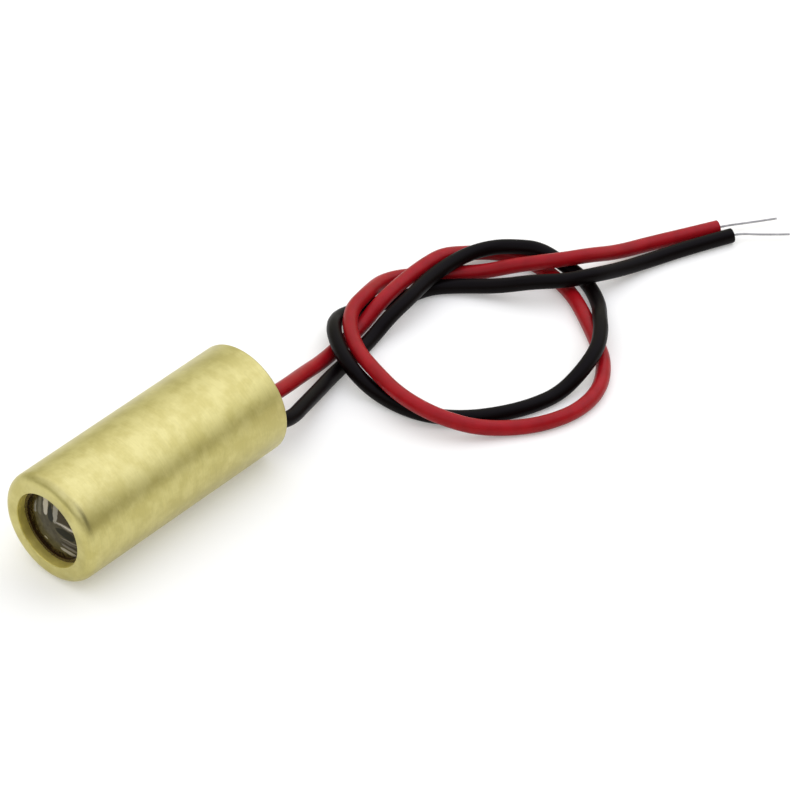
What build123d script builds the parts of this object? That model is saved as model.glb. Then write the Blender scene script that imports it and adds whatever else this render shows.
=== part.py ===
from build123d import *
import os
from math import pi, radians, tan

# Laser diode module: a turned brass barrel that holds its optics, its diode and a small drive board,
# with a red and a black supply wire that lie on the table behind it in one loose knot.
# The barrel lies on its side along Y and its beam leaves towards -Y, so its axis is one barrel radius up.
# Stations are distances from the barrel's front face. Sizes are in millimetres.

# Barrel
housing_radius = 4.5
housing_length = 20.8
front_round = 0.8
rear_chamfer = 0.12
face_ring_width = 1.45  # from the aperture to the barrel's outside
front_wall = 0.9  # round the optics
rear_wall = 0.7  # round the diode and the board
lip_thickness = 0.8
lip_break = 0.1
slip_fit = 0.04  # radial clearance of each piece that slides into a bore

# Front lens and the ring between it and the lip
front_lens_edge = 0.9
dome_inset = 0.35  # from the aperture to the dome's foot
front_lens_dome_height = 0.4
lens_ring_thickness = 0.2
lens_ring_gap = 0.1  # between the ring and the dome

# Collimator: cell, lens and retainer
cell_length = 3.8
cell_mouth_wall = 0.66
cell_throat_radius = 1.6
cell_cone_depth = 1.1
cell_seat_depth = 2.0  # from the cell's front to the collimating lens's seat
cell_counterbore_radius = 2.0
collimator_edge = 1.1
collimator_dome_gap = 0.15  # between the throat and the dome's foot
collimator_dome_height = 0.5
retainer_length = 0.6
retainer_width = 0.66

# Focus spring
spring_wire_radius = 0.15
spring_wire_sides = 8  # its round wire is drawn with few sides, because it is thin and out of sight
spring_bore_gap = 0.25  # between the coil and the bore
spring_turns = 3.5
spring_end_gap = 0.01  # between each end coil and the face that it presses on

# Diode holder and the diode's can
holder_length = 3.2
holder_window_depth = 1.4
base_radius = 2.8
base_thickness = 1.2
base_notch_width = 0.4
base_notch_depth = 0.25
cap_radius = 1.78
cap_height = 2.4
cap_wall = 0.2
cap_flange_width = 0.37
cap_flange_thickness = 0.25
cap_flange_gap = 0.15  # between the can's flange and the holder
cap_hole_radius = 0.8
window_radius = 1.2
window_thickness = 0.25

# On the header: post, submount, chip and monitor photodiode
post_width = 1.2
post_depth = 0.95
post_length = 1.5
submount_width = 0.8
submount_thickness = 0.2
submount_length = 0.8
chip_width = 0.24
chip_thickness = 0.1
chip_length = 0.5
chip_setback = 0.05  # from the post's free end to the chip's facet
monitor_side = 0.6
monitor_thickness = 0.2
monitor_height = 0.55  # its middle above the axis

# Leads
lead_radius = 0.225
lead_circle_radius = 1.0
lead_reach = 1.1  # over the board
lead_stub = 0.4  # in front of the header, inside the can
seal_radius = 0.5

# Drive board
board_gap = 0.3  # between the holder and the board
board_length = 4.0
board_edge_gap = 0.5  # between the board's lower edges and the bore
board_corner = 0.3
pad_thickness = 0.05
solder_film = 0.075  # between a lead and its pad
lead_pad_length = 1.3
lead_pad_width = 0.9
wire_pad_length = 1.2
wire_pad_width = 1.0
solder_radius = 0.6
wire_solder_radius = 0.48
part_margin = 0.3  # from the board's side edges to the parts on it

# Parts on the board's upper face
transistor_length = 2.0
transistor_width = 1.25
transistor_height = 0.95
transistor_chamfer = 0.1
transistor_leg_reach = 0.42
transistor_leg_root = 0.1  # inside the body
transistor_leg_width = 0.3
transistor_leg_thickness = 0.12
transistor_leg_spacing = 0.65
transistor_standoff = 0.08
trimmer_side = 2.0
trimmer_height = 0.85
trimmer_corner = 0.3
rotor_radius = 0.8
rotor_height = 0.3
rotor_slot_width = 0.3
rotor_slot_depth = 0.18

# Parts on the board's lower face, with their distances behind the board's front edge
resistor_length = 1.6
resistor_width = 0.8
resistor_height = 0.45
resistor_places = (0.9, 2.5)
capacitor_length = 1.6
capacitor_width = 0.8
capacitor_height = 0.8
capacitor_round = 0.1
capacitor_place = 1.6

# Potting
potting_length = 1.3
potting_gap = 0.2  # between the board and the cast plug
potting_recess = 0.5
potting_dish = 0.2
wire_hole_gap = 0.02

# Wires
wire_diameter = 1.2
conductor_diameter = 0.18
run_share = 0.45
inner_end_length = 1.4
inner_end_drop = 0.15  # from a wire pad's face to the middle of the conductor that is soldered under it
red_x = 0.6
black_x = 1.9
end_straight = 0.6  # bare conductor in line with the wire, before its bend

axis_height = housing_radius
rear_y = housing_length / 2
barrel_axis = Axis((0, 0, axis_height), (0, 1, 0))
turning_plane = Plane(origin=(0, -housing_length / 2, axis_height), x_dir=(0, 1, 0), z_dir=(1, 0, 0))

# Radii
aperture_radius = housing_radius - face_ring_width
front_bore_radius = housing_radius - front_wall
rear_bore_radius = housing_radius - rear_wall
front_piece_radius = front_bore_radius - slip_fit
rear_piece_radius = rear_bore_radius - slip_fit
front_lens_dome_radius = aperture_radius - dome_inset
collimator_radius = cell_counterbore_radius - slip_fit
cap_flange_radius = cap_radius + cap_flange_width
wire_radius = wire_diameter / 2
conductor_radius = conductor_diameter / 2

# Optics, from the front face back
lens_station = lip_thickness + lens_ring_thickness
cell_station = lens_station + front_lens_edge
cell_end = cell_station + cell_length
collimator_station = cell_station + cell_seat_depth
retainer_station = collimator_station + collimator_edge

# Potting, board and diode, from the rear face forwards. The spring takes up what is left between
potting_end = housing_length - potting_recess
potting_station = potting_end - potting_length
board_end = potting_station - potting_gap
board_station = board_end - board_length
holder_end = board_station - board_gap
shoulder_station = holder_end - holder_length
base_station = shoulder_station + holder_window_depth
base_end = base_station + base_thickness

# The board fills the gap between the two upper leads and the lower one
lead_x = lead_circle_radius * 3**0.5 / 2
lead_z = lead_circle_radius / 2
lead_places = [(-lead_x, lead_z), (lead_x, lead_z), (0, -lead_circle_radius)]
sealed_places = lead_places[:2]
case_place = lead_places[2]
upper_pad_face = axis_height + lead_z - lead_radius - solder_film
lower_pad_face = axis_height - lead_circle_radius + lead_radius + solder_film
board_top = upper_pad_face - pad_thickness
board_bottom = lower_pad_face + pad_thickness
board_half_width = (rear_bore_radius**2 - (axis_height - board_bottom) ** 2) ** 0.5 - board_edge_gap
wire_level = lower_pad_face - inner_end_drop


# y of a station
def at(station):
    return station - housing_length / 2


# Plane square to the barrel's axis: x to the right, y up, and an extrusion runs towards the front
def cross_plane(station):
    return Plane(origin=(0, at(station), axis_height), x_dir=(1, 0, 0), z_dir=(0, -1, 0))


pieces = {}

# Barrel, turned from bar: a lip at the front, a bore for the optics and a wider one for the diode and board
with BuildPart() as housing:
    with BuildSketch(turning_plane):
        with BuildLine():
            Polyline(
                (0, aperture_radius),
                (0, housing_radius),
                (housing_length, housing_radius),
                (housing_length, rear_bore_radius),
                (shoulder_station, rear_bore_radius),
                (shoulder_station, front_bore_radius),
                (lip_thickness, front_bore_radius),
                (lip_thickness, aperture_radius),
                close=True,
            )
        make_face()
    revolve(axis=barrel_axis)
    front_edges = housing.edges().filter_by(GeomType.CIRCLE).group_by(Axis.Y)[0].sort_by(SortBy.RADIUS)
    rear_edges = housing.edges().filter_by(GeomType.CIRCLE).group_by(Axis.Y)[-1].sort_by(SortBy.RADIUS)
    fillet(front_edges[-1], front_round)
    chamfer(front_edges[0], lip_break)
    chamfer(rear_edges[-1], rear_chamfer)
pieces["housing"] = housing

# Ring between the lip and the front lens
with BuildPart() as lens_ring:
    with BuildSketch(cross_plane(lens_station)):
        Circle(front_piece_radius)
        Circle(front_lens_dome_radius + lens_ring_gap, mode=Mode.SUBTRACT)
    extrude(amount=lens_ring_thickness)
pieces["lens_ring"] = lens_ring

# Front lens: a clear disc with a shallow dome that stands in the aperture
with BuildPart() as front_lens:
    with BuildSketch(turning_plane):
        with BuildLine():
            dome_top = (lens_station - front_lens_dome_height, 0)
            dome_foot = (lens_station, front_lens_dome_radius)
            TangentArc(dome_top, dome_foot, tangent=(0, 1))
            Polyline(
                dome_foot,
                (lens_station, front_piece_radius),
                (cell_station, front_piece_radius),
                (cell_station, 0),
                dome_top,
            )
        make_face()
    revolve(axis=barrel_axis)
pieces["front_lens"] = front_lens

# Collimator cell: a conical mouth, a throat, and a counterbore that seats the collimating lens
with BuildPart() as lens_cell:
    with BuildSketch(turning_plane):
        with BuildLine():
            Polyline(
                (cell_station, front_piece_radius - cell_mouth_wall),
                (cell_station, front_piece_radius),
                (cell_end, front_piece_radius),
                (cell_end, cell_counterbore_radius),
                (collimator_station, cell_counterbore_radius),
                (collimator_station, cell_throat_radius),
                (cell_station + cell_cone_depth, cell_throat_radius),
                close=True,
            )
        make_face()
    revolve(axis=barrel_axis)
pieces["lens_cell"] = lens_cell

# Collimating lens: flat towards the diode, domed towards the beam
with BuildPart() as collimating_lens:
    with BuildSketch(turning_plane):
        with BuildLine():
            collimator_top = (collimator_station - collimator_dome_height, 0)
            collimator_foot = (collimator_station, cell_throat_radius - collimator_dome_gap)
            TangentArc(collimator_top, collimator_foot, tangent=(0, 1))
            Polyline(
                collimator_foot,
                (collimator_station, collimator_radius),
                (retainer_station, collimator_radius),
                (retainer_station, 0),
                collimator_top,
            )
        make_face()
    revolve(axis=barrel_axis)
pieces["collimating_lens"] = collimating_lens

# Retainer behind the collimating lens
with BuildPart() as lens_retainer:
    with BuildSketch(cross_plane(retainer_station + retainer_length)):
        Circle(collimator_radius)
        Circle(collimator_radius - retainer_width, mode=Mode.SUBTRACT)
    extrude(amount=retainer_length)
pieces["lens_retainer"] = lens_retainer

# Coil spring between the cell and the diode's holder
coil_inset = spring_wire_radius + spring_end_gap
coil_height = shoulder_station - cell_end - 2 * coil_inset
with BuildPart() as focus_spring:
    with BuildLine() as coil:
        Helix(
            pitch=coil_height / spring_turns,
            height=coil_height,
            radius=front_bore_radius - spring_bore_gap - spring_wire_radius,
            center=(0, at(cell_end + coil_inset), axis_height),
            direction=(0, 1, 0),
        )
    with BuildSketch(Plane(origin=coil.line @ 0, z_dir=coil.line % 0)):
        RegularPolygon(spring_wire_radius, spring_wire_sides)
    sweep(is_frenet=True)
pieces["focus_spring"] = focus_spring

# Holder: a brass sleeve that seats on the barrel's shoulder and takes the diode's header from behind
with BuildPart() as diode_holder:
    with BuildSketch(cross_plane(holder_end)):
        Circle(rear_piece_radius)
        Circle(cap_flange_radius + cap_flange_gap, mode=Mode.SUBTRACT)
    extrude(amount=holder_length)
    with BuildSketch(cross_plane(holder_end)):
        Circle(base_radius + slip_fit)
    extrude(amount=holder_length - holder_window_depth, mode=Mode.SUBTRACT)
pieces["diode_holder"] = diode_holder

# Header with two side notches and two holes for the sealed leads
with BuildPart() as diode_base:
    with BuildSketch(cross_plane(base_end)):
        Circle(base_radius)
        with Locations((-base_radius, 0), (base_radius, 0)):
            Rectangle(2 * base_notch_depth, base_notch_width, mode=Mode.SUBTRACT)
        with Locations(*sealed_places):
            Circle(seal_radius, mode=Mode.SUBTRACT)
    extrude(amount=base_thickness)
pieces["diode_base"] = diode_base

# Post below the axis, with the submount and the chip on its upper face, the chip in line with the axis
post_top = -chip_thickness / 2 - submount_thickness
with BuildPart() as heat_post:
    with BuildSketch(cross_plane(base_station)):
        with Locations((0, post_top - post_depth / 2)):
            Rectangle(post_width, post_depth)
    extrude(amount=post_length)
pieces["heat_post"] = heat_post

facet_station = base_station - post_length + chip_setback
with BuildPart() as submount:
    with BuildSketch(cross_plane(facet_station + submount_length)):
        with Locations((0, post_top + submount_thickness / 2)):
            Rectangle(submount_width, submount_thickness)
    extrude(amount=submount_length)
pieces["submount"] = submount

with BuildPart() as laser_chip:
    with BuildSketch(cross_plane(facet_station + chip_length)):
        Rectangle(chip_width, chip_thickness)
    extrude(amount=chip_length)
pieces["laser_chip"] = laser_chip

# Monitor photodiode on the header's face, above the axis
with BuildPart() as monitor_photodiode:
    with BuildSketch(cross_plane(base_station)):
        with Locations((0, monitor_height)):
            Rectangle(monitor_side, monitor_side)
    extrude(amount=monitor_thickness)
pieces["monitor_photodiode"] = monitor_photodiode

# Can, with its flange welded to the header
cap_front = base_station - cap_height
with BuildPart() as diode_cap:
    with BuildSketch(turning_plane):
        with BuildLine():
            Polyline(
                (cap_front, cap_hole_radius),
                (cap_front, cap_radius),
                (base_station - cap_flange_thickness, cap_radius),
                (base_station - cap_flange_thickness, cap_flange_radius),
                (base_station, cap_flange_radius),
                (base_station, cap_radius - cap_wall),
                (cap_front + cap_wall, cap_radius - cap_wall),
                (cap_front + cap_wall, cap_hole_radius),
                close=True,
            )
        make_face()
    revolve(axis=barrel_axis)
pieces["diode_cap"] = diode_cap

# Window, sealed to the inside of the can's front wall
with BuildPart() as diode_window:
    with BuildSketch(cross_plane(cap_front + cap_wall + window_thickness)):
        Circle(window_radius)
    extrude(amount=window_thickness)
pieces["diode_window"] = diode_window

# Leads: two pass through the header in glass, and the third is welded to its rear face
lead_end = board_station + lead_reach
with BuildPart() as diode_leads:
    with BuildSketch(cross_plane(lead_end)):
        with Locations(*sealed_places):
            Circle(lead_radius)
    extrude(amount=lead_end - base_station + lead_stub)
    with BuildSketch(cross_plane(lead_end)):
        with Locations(case_place):
            Circle(lead_radius)
    extrude(amount=lead_end - base_end)
pieces["diode_leads"] = diode_leads

with BuildPart() as lead_seals:
    with BuildSketch(cross_plane(base_end)):
        with Locations(*sealed_places):
            Circle(seal_radius)
            Circle(lead_radius, mode=Mode.SUBTRACT)
    extrude(amount=base_thickness)
pieces["lead_seals"] = lead_seals

# Drive board
with BuildPart() as driver_board:
    with BuildSketch(Plane.XY.offset(board_bottom)):
        with Locations((0, at(board_station + board_length / 2))):
            RectangleRounded(2 * board_half_width, board_length, board_corner)
    extrude(amount=board_top - board_bottom)
pieces["driver_board"] = driver_board

# Copper pads: two for the upper leads, one for the lower lead and one for each wire
lead_pad_y = at(board_station + lead_pad_length / 2)
wire_pad_y = at(board_end - wire_pad_length / 2)
with BuildPart() as board_pads:
    with BuildSketch(Plane.XY.offset(board_top)):
        with Locations((-lead_x, lead_pad_y), (lead_x, lead_pad_y)):
            Rectangle(lead_pad_width, lead_pad_length)
    extrude(amount=pad_thickness)
    with BuildSketch(Plane.XY.offset(lower_pad_face)):
        with Locations((0, lead_pad_y)):
            Rectangle(lead_pad_width, lead_pad_length)
        with Locations((red_x, wire_pad_y), (black_x, wire_pad_y)):
            Rectangle(wire_pad_width, wire_pad_length)
    extrude(amount=pad_thickness)
pieces["board_pads"] = board_pads

# Drive transistor: a moulded body on three bent legs, two on one side and one on the other
upper_parts_y = at((board_station + lead_pad_length + board_end) / 2)
body_bottom = board_top + transistor_standoff
leg_top = body_bottom + transistor_height / 2
side_x = transistor_width / 2
foot_x = side_x + transistor_leg_reach
leg_bend_x = side_x + transistor_leg_reach / 2
transistor_x = part_margin + foot_x - board_half_width
with BuildPart() as driver_transistor:
    with BuildSketch(Plane.XY.offset(body_bottom)):
        with Locations((transistor_x, upper_parts_y)):
            Rectangle(transistor_width, transistor_length)
    extrude(amount=transistor_height)
    chamfer(driver_transistor.faces().sort_by(Axis.Z)[-1].edges(), transistor_chamfer)
    leg_places = [
        (1, upper_parts_y - transistor_leg_spacing),
        (1, upper_parts_y + transistor_leg_spacing),
        (-1, upper_parts_y),
    ]
    for side, leg_y in leg_places:
        leg_plane = Plane(
            origin=(transistor_x, leg_y - side * transistor_leg_width / 2, 0),
            x_dir=(side, 0, 0),
            z_dir=(0, -side, 0),
        )
        with BuildSketch(leg_plane):
            with BuildLine():
                Polyline(
                    (side_x - transistor_leg_root, leg_top),
                    (leg_bend_x, leg_top),
                    (leg_bend_x, board_top + transistor_leg_thickness),
                    (foot_x, board_top + transistor_leg_thickness),
                    (foot_x, board_top),
                    (leg_bend_x - transistor_leg_thickness, board_top),
                    (leg_bend_x - transistor_leg_thickness, leg_top - transistor_leg_thickness),
                    (side_x - transistor_leg_root, leg_top - transistor_leg_thickness),
                    close=True,
                )
            make_face()
        extrude(amount=-transistor_leg_width)
pieces["driver_transistor"] = driver_transistor

# Current trimmer and its slotted rotor
trimmer_x = board_half_width - part_margin - trimmer_side / 2
with BuildPart() as trimmer:
    with BuildSketch(Plane.XY.offset(board_top)):
        with Locations((trimmer_x, upper_parts_y)):
            RectangleRounded(trimmer_side, trimmer_side, trimmer_corner)
    extrude(amount=trimmer_height)
pieces["trimmer"] = trimmer

with BuildPart() as trimmer_rotor:
    with BuildSketch(Plane.XY.offset(board_top + trimmer_height)):
        with Locations((trimmer_x, upper_parts_y)):
            Circle(rotor_radius)
    extrude(amount=rotor_height)
    with BuildSketch(Plane.XY.offset(board_top + trimmer_height + rotor_height)):
        with Locations((trimmer_x, upper_parts_y)):
            Rectangle(2 * rotor_radius, rotor_slot_width)
    extrude(amount=-rotor_slot_depth, mode=Mode.SUBTRACT)
pieces["trimmer_rotor"] = trimmer_rotor

# Chip resistors and capacitor under the board
resistor_x = part_margin + resistor_length / 2 - board_half_width
capacitor_x = board_half_width - part_margin - capacitor_length / 2
with BuildPart() as resistors:
    with BuildSketch(Plane.XY.offset(board_bottom - resistor_height)):
        with Locations(*[(resistor_x, at(board_station + place)) for place in resistor_places]):
            Rectangle(resistor_length, resistor_width)
    extrude(amount=resistor_height)
pieces["resistors"] = resistors

with BuildPart() as capacitor:
    with BuildSketch(Plane.XY.offset(board_bottom - capacitor_height)):
        with Locations((capacitor_x, at(board_station + capacitor_place))):
            Rectangle(capacitor_length, capacitor_width)
    extrude(amount=capacitor_height)
    fillet(capacitor.edges().filter_by(Axis.Y), capacitor_round)
pieces["capacitor"] = capacitor

# Cast plug that closes the rear of the barrel, with a dished rear face and a hole along each wire
with BuildPart() as potting:
    with BuildSketch(turning_plane):
        with BuildLine():
            dish_middle = (potting_end - potting_dish, 0)
            dish_edge = (potting_end, rear_piece_radius)
            TangentArc(dish_middle, dish_edge, tangent=(0, 1))
            Polyline(dish_edge, (potting_station, rear_piece_radius), (potting_station, 0), dish_middle)
        make_face()
    revolve(axis=barrel_axis)
    with BuildSketch(cross_plane(housing_length)):
        with Locations((red_x, wire_level - axis_height), (black_x, wire_level - axis_height)):
            Circle(wire_radius + wire_hole_gap)
    extrude(amount=housing_length - potting_station, mode=Mode.SUBTRACT)
pieces["potting"] = potting

# Routes of the wires' centre lines: x, distance behind the barrel's rear face, and height.
# Each starts at its pad, drops to the table and goes once round the knot. 0.6 is a wire on the table,
# and about 1.9 is one that crosses over another.
wire_start = at(potting_station) - rear_y
red_points = [
    (red_x, wire_start, wire_level),
    (red_x, 1.1, wire_level),
    (0.2, 4.2, 3.0),
    (-0.9, 7.5, 1.8),
    (-1.7, 10.5, 0.8),
    (-2.2, 13.2, 0.6),
    (-2.5, 15.9, 0.7),
    (-2.5, 18.3, 1.9),
    (-2.9, 21.2, 1.9),
    (-3.0, 23.9, 1.95),
    (-2.9, 26.1, 1.85),
    (-2.5, 28.2, 1.0),
    (-1.4, 30.1, 0.6),
    (0.6, 31.1, 0.6),
    (2.8, 31.2, 0.6),
    (5.1, 30.8, 0.6),
    (7.5, 29.9, 0.6),
    (9.9, 28.4, 0.6),
    (12.1, 26.9, 0.6),
    (14.6, 25.0, 0.6),
    (16.4, 22.2, 0.6),
    (16.8, 19.2, 0.6),
    (15.9, 16.3, 0.6),
    (14.3, 14.1, 0.6),
    (12.6, 12.1, 1.0),
    (10.8, 10.8, 1.6),
    (8.7, 10.2, 1.95),
    (6.1, 10.4, 1.95),
    (3.4, 11.2, 1.95),
    (0.3, 12.3, 1.95),
    (-2.1, 14.1, 2.0),
    (-3.5, 16.0, 1.95),
    (-3.8, 17.9, 2.05),
    (-4.8, 20.8, 1.2),
    (-4.5, 23.0, 0.65),
    (-3.0, 24.6, 0.6),
    (-1.4, 26.2, 0.7),
    (0.1, 27.6, 0.8),
    (2.0, 28.9, 1.6),
    (3.6, 30.2, 2.0),
    (4.9, 31.7, 2.1),
    (5.9, 33.6, 1.95),
    (6.5, 36.3, 1.0),
    (7.4, 39.4, 0.6),
    (8.8, 42.1, 0.6),
    (10.1, 44.7, 0.6),
]
black_points = [
    (black_x, wire_start, wire_level),
    (black_x, 0.7, wire_level),
    (2.4, 2.4, 2.6),
    (1.5, 5.0, 1.8),
    (0.6, 7.7, 1.1),
    (-0.2, 10.4, 0.6),
    (-0.5, 13.0, 0.6),
    (-0.9, 15.4, 0.7),
    (-1.0, 17.6, 1.5),
    (-1.1, 20.1, 1.9),
    (-1.6, 22.7, 1.9),
    (-1.7, 25.3, 1.9),
    (-1.4, 27.6, 1.9),
    (-0.5, 29.5, 1.9),
    (0.8, 30.7, 1.9),
    (2.4, 31.7, 1.9),
    (4.4, 32.4, 0.9),
    (6.4, 32.3, 0.6),
    (8.2, 31.4, 0.6),
    (10.0, 29.9, 0.95),
    (11.4, 28.2, 1.7),
    (12.7, 26.8, 1.9),
    (14.0, 24.8, 1.9),
    (14.5, 22.4, 1.4),
    (14.4, 19.9, 0.6),
    (13.8, 17.3, 0.6),
    (12.6, 14.9, 0.6),
    (10.9, 12.7, 0.6),
    (8.6, 11.1, 0.6),
    (6.0, 10.5, 0.6),
    (3.3, 10.5, 0.7),
    (1.2, 10.5, 1.6),
    (-0.8, 11.4, 2.0),
    (-2.8, 13.1, 1.95),
    (-4.3, 15.0, 1.25),
    (-4.5, 16.9, 0.6),
    (-3.8, 18.8, 0.6),
    (-2.6, 20.6, 0.6),
    (-2.0, 23.3, 0.6),
    (-0.3, 25.1, 0.6),
    (2.4, 26.6, 1.05),
    (4.7, 28.0, 1.85),
    (6.7, 29.7, 2.0),
    (7.9, 31.8, 2.0),
    (8.2, 34.6, 1.1),
    (8.8, 37.7, 0.6),
    (10.0, 41.0, 0.6),
    (11.6, 44.6, 0.6),
]
red_tip = (12.8, 48.9, 0.5)
black_tip = (14.9, 47.9, 0.5)


# Radius of the arc at each corner of a route
def corner_radii(route):
    radii = []
    for before, corner, after in zip(route, route[1:], route[2:]):
        incoming = corner - before
        outgoing = after - corner
        turn = radians(incoming.get_angle(outgoing))
        radii.append(run_share * min(incoming.length, outgoing.length) / tan(turn / 2))
    return radii


# Each wire, its bare outer end and its bare inner end
for colour, points, tip in (("red", red_points, red_tip), ("black", black_points, black_tip)):
    route = [Vector(x, rear_y + behind, z) for x, behind, z in points]
    radii = corner_radii(route)
    print(colour, "wire radii", [round(radius, 1) for radius in radii])

    with BuildPart() as wire:
        with BuildLine() as wire_path:
            FilletPolyline(*route, radius=radii)
        with BuildSketch(Plane(origin=wire_path.line @ 0, z_dir=wire_path.line % 0)):
            Circle(wire_radius)
        sweep()
    pieces[colour + "_wire"] = wire
    wire_length = wire_path.wire().length
    plain_volume = pi * wire_radius**2 * wire_length
    print(colour, "wire length", round(wire_length, 1), "volume", round(wire.part.volume / plain_volume, 4))

    end_point = route[-1]
    end_direction = (route[-1] - route[-2]).normalized()
    end_route = [
        end_point,
        end_point + end_direction * end_straight,
        Vector(tip[0], rear_y + tip[1], tip[2]),
    ]
    with BuildPart() as outer_end:
        with BuildLine() as end_path:
            FilletPolyline(*end_route, radius=corner_radii(end_route))
        with BuildSketch(Plane(origin=end_path.line @ 0, z_dir=end_path.line % 0)):
            Circle(conductor_radius)
        sweep()
    pieces[colour + "_wire_end"] = outer_end
    print(colour, "bare end length", round(end_path.wire().length, 2))

    with BuildPart() as inner_end:
        with BuildSketch(cross_plane(potting_station)):
            with Locations((points[0][0], wire_level - axis_height)):
                Circle(conductor_radius)
        extrude(amount=inner_end_length)
    pieces[colour + "_inner_end"] = inner_end

# Solder on the leads: a dome on each pad, round its lead
with BuildPart() as lower_dome:
    with Locations((0, lead_pad_y, lower_pad_face)):
        Sphere(solder_radius)
    split(bisect_by=Plane.XY.offset(lower_pad_face), keep=Keep.BOTTOM)

with BuildPart() as lead_solder:
    with Locations((-lead_x, lead_pad_y, upper_pad_face), (lead_x, lead_pad_y, upper_pad_face)):
        Sphere(solder_radius)
    split(bisect_by=Plane.XY.offset(upper_pad_face), keep=Keep.TOP)
    add(lower_dome.part)
    add(diode_leads.part, mode=Mode.SUBTRACT)
pieces["lead_solder"] = lead_solder

# Solder on the wires: a dome under each wire pad, round the bare inner end
with BuildPart() as wire_solder:
    with Locations((red_x, wire_pad_y, lower_pad_face), (black_x, wire_pad_y, lower_pad_face)):
        Sphere(wire_solder_radius)
    split(bisect_by=Plane.XY.offset(lower_pad_face), keep=Keep.BOTTOM)
    add(pieces["red_inner_end"].part, mode=Mode.SUBTRACT)
    add(pieces["black_inner_end"].part, mode=Mode.SUBTRACT)
pieces["wire_solder"] = wire_solder

os.makedirs("parts", exist_ok=True)
for name, piece in pieces.items():
    piece.part.label = name
    export_step(piece.part, "parts/" + name + ".step")
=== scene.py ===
import bpy
import bmesh
from math import cos, hypot, pi, radians, sin
from mathutils import Matrix, Vector


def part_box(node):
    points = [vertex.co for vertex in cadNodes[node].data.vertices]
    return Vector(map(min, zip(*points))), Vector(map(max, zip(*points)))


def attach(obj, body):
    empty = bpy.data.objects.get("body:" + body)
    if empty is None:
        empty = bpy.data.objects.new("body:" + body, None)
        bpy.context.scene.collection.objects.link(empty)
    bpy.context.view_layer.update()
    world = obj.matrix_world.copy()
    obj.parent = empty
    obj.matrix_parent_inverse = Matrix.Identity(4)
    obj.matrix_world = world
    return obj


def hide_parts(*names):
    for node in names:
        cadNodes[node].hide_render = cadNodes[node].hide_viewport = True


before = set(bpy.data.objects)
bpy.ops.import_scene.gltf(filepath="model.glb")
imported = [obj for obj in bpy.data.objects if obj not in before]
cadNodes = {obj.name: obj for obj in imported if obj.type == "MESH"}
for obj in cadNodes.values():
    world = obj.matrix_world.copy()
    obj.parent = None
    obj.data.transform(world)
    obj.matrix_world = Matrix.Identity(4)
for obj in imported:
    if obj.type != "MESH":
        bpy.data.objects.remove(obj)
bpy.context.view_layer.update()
mm = 0.001
tiny = 0.001 * mm
bumpDepth = 0.01 * mm  # of a finish's grain or rings
mixSockets = {"first": 6, "second": 7, "result": 2}  # where a Mix node has its colour sockets

# The barrel's own measures, from its node. Its axis runs along Y at x = 0, and its front faces -Y
barrelLow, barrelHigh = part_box("housing")
barrelRadius = (barrelHigh.x - barrelLow.x) / 2
axisHeight = (barrelHigh.z + barrelLow.z) / 2
frontY = barrelLow.y
rearY = barrelHigh.y
slipFit = 0.04 * mm  # between a bore and what slides into it
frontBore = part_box("front_lens")[1].x + slipFit
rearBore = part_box("potting")[1].x + slipFit
print("stage: frame loaded")


# Node helpers
def addNode(tree, kind, **settings):
    node = tree.nodes.new(kind)
    for key, value in settings.items():
        setattr(node, key, value)
    return node


def feed(tree, socket, value):
    if isinstance(value, bpy.types.NodeSocket):
        tree.links.new(value, socket)
    elif isinstance(value, tuple) and len(value) == 3 and len(socket.default_value) == 4:
        socket.default_value = (*value, 1)
    else:
        socket.default_value = value


def mathNode(tree, operation, *values, clamp=False):
    node = addNode(tree, "ShaderNodeMath", operation=operation, use_clamp=clamp)
    for socket, value in zip(node.inputs, values):
        feed(tree, socket, value)
    return node.outputs[0]


def rampNode(tree, factor, stops, smooth=False):
    node = addNode(tree, "ShaderNodeValToRGB")
    node.color_ramp.interpolation = "EASE" if smooth else "LINEAR"
    elements = node.color_ramp.elements
    elements[0].position, elements[0].color = stops[0][0], fullColour(stops[0][1])
    elements[1].position, elements[1].color = stops[-1][0], fullColour(stops[-1][1])
    for place, tone in stops[1:-1]:
        elements.new(place).color = fullColour(tone)
    tree.links.new(factor, node.inputs["Fac"])
    return node.outputs["Color"]


def fullColour(tone):
    if isinstance(tone, (int, float)):
        return (tone, tone, tone, 1)
    return (*tone, 1)


def mixColour(tree, factor, first, second, blend="MIX"):
    node = addNode(tree, "ShaderNodeMix", data_type="RGBA", blend_type=blend)
    feed(tree, node.inputs["Factor"], factor)
    feed(tree, node.inputs[mixSockets["first"]], first)
    feed(tree, node.inputs[mixSockets["second"]], second)
    return node.outputs[mixSockets["result"]]


def newGroup(name, inputs, outputs):
    group = bpy.data.node_groups.new(name, "ShaderNodeTree")
    for label, kind, value in inputs:
        socket = group.interface.new_socket(name=label, in_out="INPUT", socket_type=kind)
        if value is not None:
            socket.default_value = value
    for label, kind in outputs:
        group.interface.new_socket(name=label, in_out="OUTPUT", socket_type=kind)
    start = group.nodes.new("NodeGroupInput")
    end = group.nodes.new("NodeGroupOutput")
    return group, start, end


# Rings that a lathe leaves round the Y axis, and soft patches where the metal has dulled
turnedNoise = {
    "detail": 4,
    "ringRoughness": 0.65,
    "patchRoughness": 0.6,
    "ringStops": (0.3, 0.5, 0.7),  # where the rings are darkest, plain and lightest
}


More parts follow.
